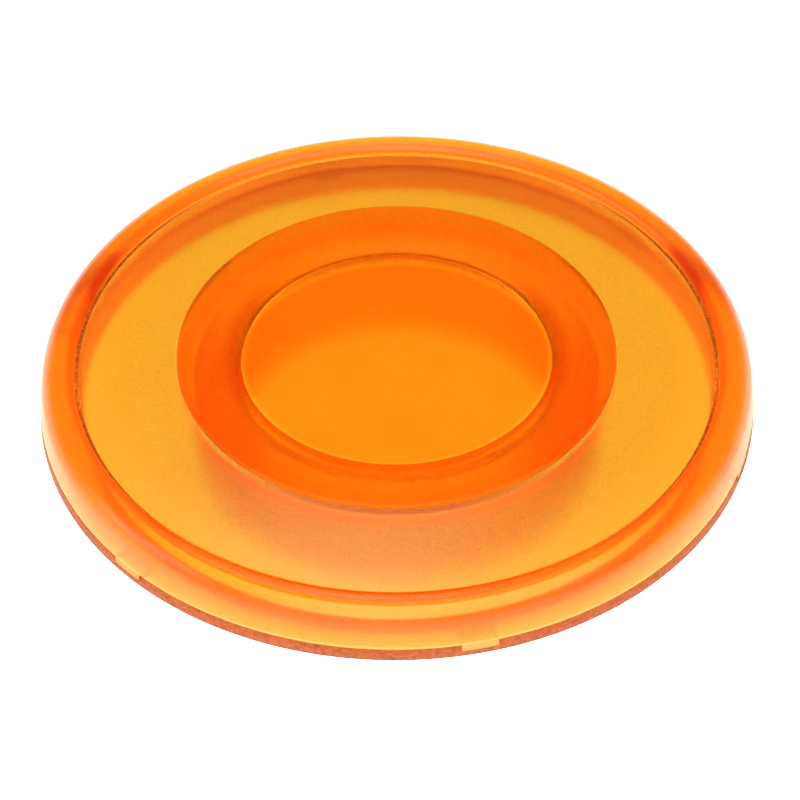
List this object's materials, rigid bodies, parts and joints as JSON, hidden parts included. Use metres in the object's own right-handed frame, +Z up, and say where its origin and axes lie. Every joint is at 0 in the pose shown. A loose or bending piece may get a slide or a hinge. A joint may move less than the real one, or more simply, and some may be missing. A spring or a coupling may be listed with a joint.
{
  "type": "raised pavement marker",
  "caption": "Low round amber road marker: satin conical top, flat collar, dished window, round anchor wall and notched base ring.",
  "frame": {"origin": "centre of the anchor wall's foot", "axes": "+Z up through the centre of the round head, -Y towards the front"},
  "size_m": [0.1, 0.1, 0.018],
  "materials": {
    "amber_gloss": "gloss",
    "sealant_brown": "matte",
    "amber_satin": "satin",
    "amber_deep": "satin",
    "amber_window": "satin",
    "amber_anchor": "satin",
    "base_brown": "textured",
    "pale_nylon": "satin"
  },
  "bodies": {
    "root": {"rim_ring": "amber_gloss", "seam_bead": "sealant_brown", "top_plate": "amber_satin", "collar_ring": "amber_deep", "centre_window": "amber_window", "anchor_ring": "amber_anchor", "base_ring": "base_brown", "snap_tab_1": "pale_nylon", "snap_tab_2": "pale_nylon", "snap_tab_3": "pale_nylon", "snap_tab_4": "pale_nylon", "snap_tab_5": "pale_nylon", "snap_tab_6": "pale_nylon"}
  },
  "joints": []
}
